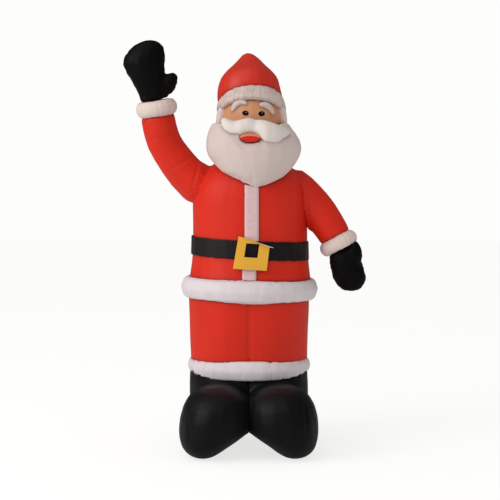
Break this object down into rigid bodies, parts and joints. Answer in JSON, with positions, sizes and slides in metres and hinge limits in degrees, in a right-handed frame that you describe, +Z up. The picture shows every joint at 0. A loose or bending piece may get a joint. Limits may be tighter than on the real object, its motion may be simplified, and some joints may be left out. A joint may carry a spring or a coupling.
{
  "type": "inflatable_santa",
  "caption": "Tall air-filled cloth Santa in red and white, waving with a raised black mitten, with a round white beard, a belt with a square yellow buckle and big soft black boots.",
  "frame": {"origin": "middle of the box around the figure, on the ground under its boots", "axes": "+Z up, the figure faces -Y, its raised right arm is on the -X side"},
  "size_m": [1.4518, 0.9542, 2.415],
  "materials": {
    "suit_red": "thin woven polyester, soft sheen",
    "trim_white": "thin woven polyester, gathered at its seams",
    "beard_white": "thin woven polyester, smooth",
    "skin": "thin woven polyester, printed eyes",
    "lip_red": "thin woven polyester",
    "glove_black": "thin woven polyester, faint sheen",
    "boot_black": "thin woven polyester, faint sheen",
    "belt_black": "flat woven band",
    "buckle_yellow": "flat coated cloth"
  },
  "bodies": {
    "root": {"beard": "beard_white", "belt": "belt_black", "buckle": "buckle_yellow", "coat": "suit_red", "face": "skin", "front_trim_lower": "trim_white", "front_trim_upper": "trim_white", "hair": "trim_white", "hat": "suit_red", "hat_brim": "trim_white", "hem_trim": "trim_white", "left_boot": "boot_black", "left_cuff": "trim_white", "left_eyebrow": "beard_white", "left_mitten": "glove_black", "left_sleeve": "suit_red", "moustache": "beard_white", "mouth": "lip_red", "right_boot": "boot_black", "right_cuff": "trim_white", "right_eyebrow": "beard_white", "right_mitten": "glove_black", "right_sleeve": "suit_red", "trouser_trim": "trim_white", "trousers": "suit_red"}
  },
  "joints": []
}
